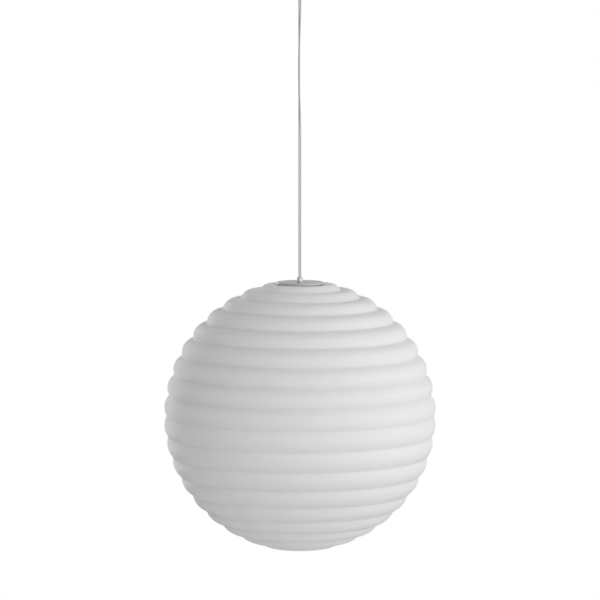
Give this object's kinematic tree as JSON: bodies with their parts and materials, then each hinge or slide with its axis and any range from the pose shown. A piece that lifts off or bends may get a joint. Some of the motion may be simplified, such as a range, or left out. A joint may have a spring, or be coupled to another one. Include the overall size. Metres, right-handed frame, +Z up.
{
  "type": "ribbed glass globe pendant lamp",
  "caption": "Round pendant lamp shaped like a paper lantern: a ribbed satin opal glass globe hanging from a ceiling canopy by a thin steel wire and a flex.",
  "frame": {"origin": "centre of the ceiling plate's top face, which lies against the ceiling", "axes": "+Z up, out of the plate into the ceiling; the lamp hangs down towards -Z; -Y faces the viewer"},
  "size_m": [0.3992, 0.3992, 0.8814],
  "materials": {
    "opal_glass": "satin etched white opal glass",
    "brushed_steel": "fine turned satin steel",
    "steel_wire": "stranded stainless wire",
    "flex_sheath": "smooth light grey sheath",
    "zinc_plated_steel": "zinc plated",
    "brass": "turned",
    "nylon": "natural",
    "white_plastic": "semi gloss",
    "porcelain": "glazed",
    "rubber": "moulded",
    "silicone": "moulded, translucent white",
    "bulb_glass": "inside frosted"
  },
  "bodies": {
    "ceiling_mount": {"ceiling_plate": "zinc_plated_steel", "bridge_strap": "zinc_plated_steel", "strap_screw_1": "brushed_steel", "strap_screw_2": "brushed_steel", "threaded_nipple": "brass", "nipple_nut_upper": "brass", "nipple_nut_lower": "brass", "terminal_block": "white_plastic", "terminal_screw_1": "brass", "terminal_screw_2": "brass", "terminal_screw_3": "brass", "flex_tail": "flex_sheath", "canopy_cup": "brushed_steel", "canopy_screw_1": "brushed_steel", "canopy_screw_2": "brushed_steel", "socket_cup": "brushed_steel", "socket_ring": "brushed_steel"},
    "swivel": {"socket_liner": "nylon"},
    "tilt_seat": {"ball_seat": "nylon"},
    "pendant": {"hang_ball": "brushed_steel", "upper_wire_stop": "zinc_plated_steel", "suspension_wire": "steel_wire", "power_flex": "flex_sheath", "lower_wire_stop": "zinc_plated_steel", "hollow_stem": "brass", "stem_nut_upper": "brass", "stem_nut_lower": "brass", "carrier_hub": "zinc_plated_steel", "hub_cover": "zinc_plated_steel", "cover_screw_1": "brushed_steel", "cover_screw_2": "brushed_steel", "cover_screw_3": "brushed_steel", "arm_spring_1": "brushed_steel", "arm_spring_2": "brushed_steel", "arm_spring_3": "brushed_steel", "glass_globe": "opal_glass", "holder_cap": "white_plastic", "holder_nut": "brass", "holder_skirt": "white_plastic", "holder_insert": "porcelain", "thread_shell": "brass", "centre_contact": "brass", "holder_screw_1": "brass", "holder_screw_2": "brass"},
    "lid": {"neck_lid": "brushed_steel", "lid_gasket": "silicone", "cord_ferrule": "brushed_steel", "ferrule_screw": "brushed_steel"},
    "arm_1": {"support_arm_1": "zinc_plated_steel", "arm_pad_1": "rubber"},
    "arm_2": {"support_arm_2": "zinc_plated_steel", "arm_pad_2": "rubber"},
    "arm_3": {"support_arm_3": "zinc_plated_steel", "arm_pad_3": "rubber"},
    "bulb_lift": {"bulb_contact": "zinc_plated_steel"},
    "bulb": {"bulb_base": "zinc_plated_steel", "bulb_glass": "bulb_glass"}
  },
  "joints": [
    {"name": "ball_swivel", "type": "hinge", "parent": "ceiling_mount", "child": "swivel", "pos_m": [0, 0, -0.0485], "axis": [0, 0, 1], "range_deg": [-170, 170]},
    {"name": "tilt_front_back", "type": "hinge", "parent": "swivel", "child": "tilt_seat", "pos_m": [0, 0, -0.0485], "axis": [1, 0, 0], "range_deg": [-15, 15]},
    {"name": "tilt_left_right", "type": "hinge", "parent": "tilt_seat", "child": "pendant", "pos_m": [0, 0, -0.0485], "axis": [0, 1, 0], "range_deg": [-15, 15]},
    {"name": "lid_slide", "type": "slide", "parent": "pendant", "child": "lid", "axis": [0, 0, 1], "range_m": [0, 0.06]},
    {"name": "arm_slide_1", "type": "slide", "parent": "pendant", "child": "arm_1", "axis": [0, -1, 0], "range_m": [0, 0.0105], "stiffness_N_per_m": 300, "springref_m": -0.006, "deforming": ["arm_spring_1"]},
    {"name": "arm_slide_2", "type": "slide", "parent": "pendant", "child": "arm_2", "axis": [0.866, 0.5, 0], "range_m": [0, 0.0105], "stiffness_N_per_m": 300, "springref_m": -0.006, "deforming": ["arm_spring_2"]},
    {"name": "arm_slide_3", "type": "slide", "parent": "pendant", "child": "arm_3", "axis": [-0.866, 0.5, 0], "range_m": [0, 0.0105], "stiffness_N_per_m": 300, "springref_m": -0.006, "deforming": ["arm_spring_3"]},
    {"name": "bulb_travel", "type": "slide", "parent": "pendant", "child": "bulb_lift", "axis": [0, 0, -1], "range_m": [0, 0.011]},
    {"name": "bulb_turn", "type": "hinge", "parent": "bulb_lift", "child": "bulb", "pos_m": [0, 0, -0.63], "axis": [0, 0, -1], "range_deg": [0, 1080]}
  ],
  "couplings": [
    {"joint": "bulb_travel", "follows": "bulb_turn", "m_per_rad": 0.00057614}
  ]
}
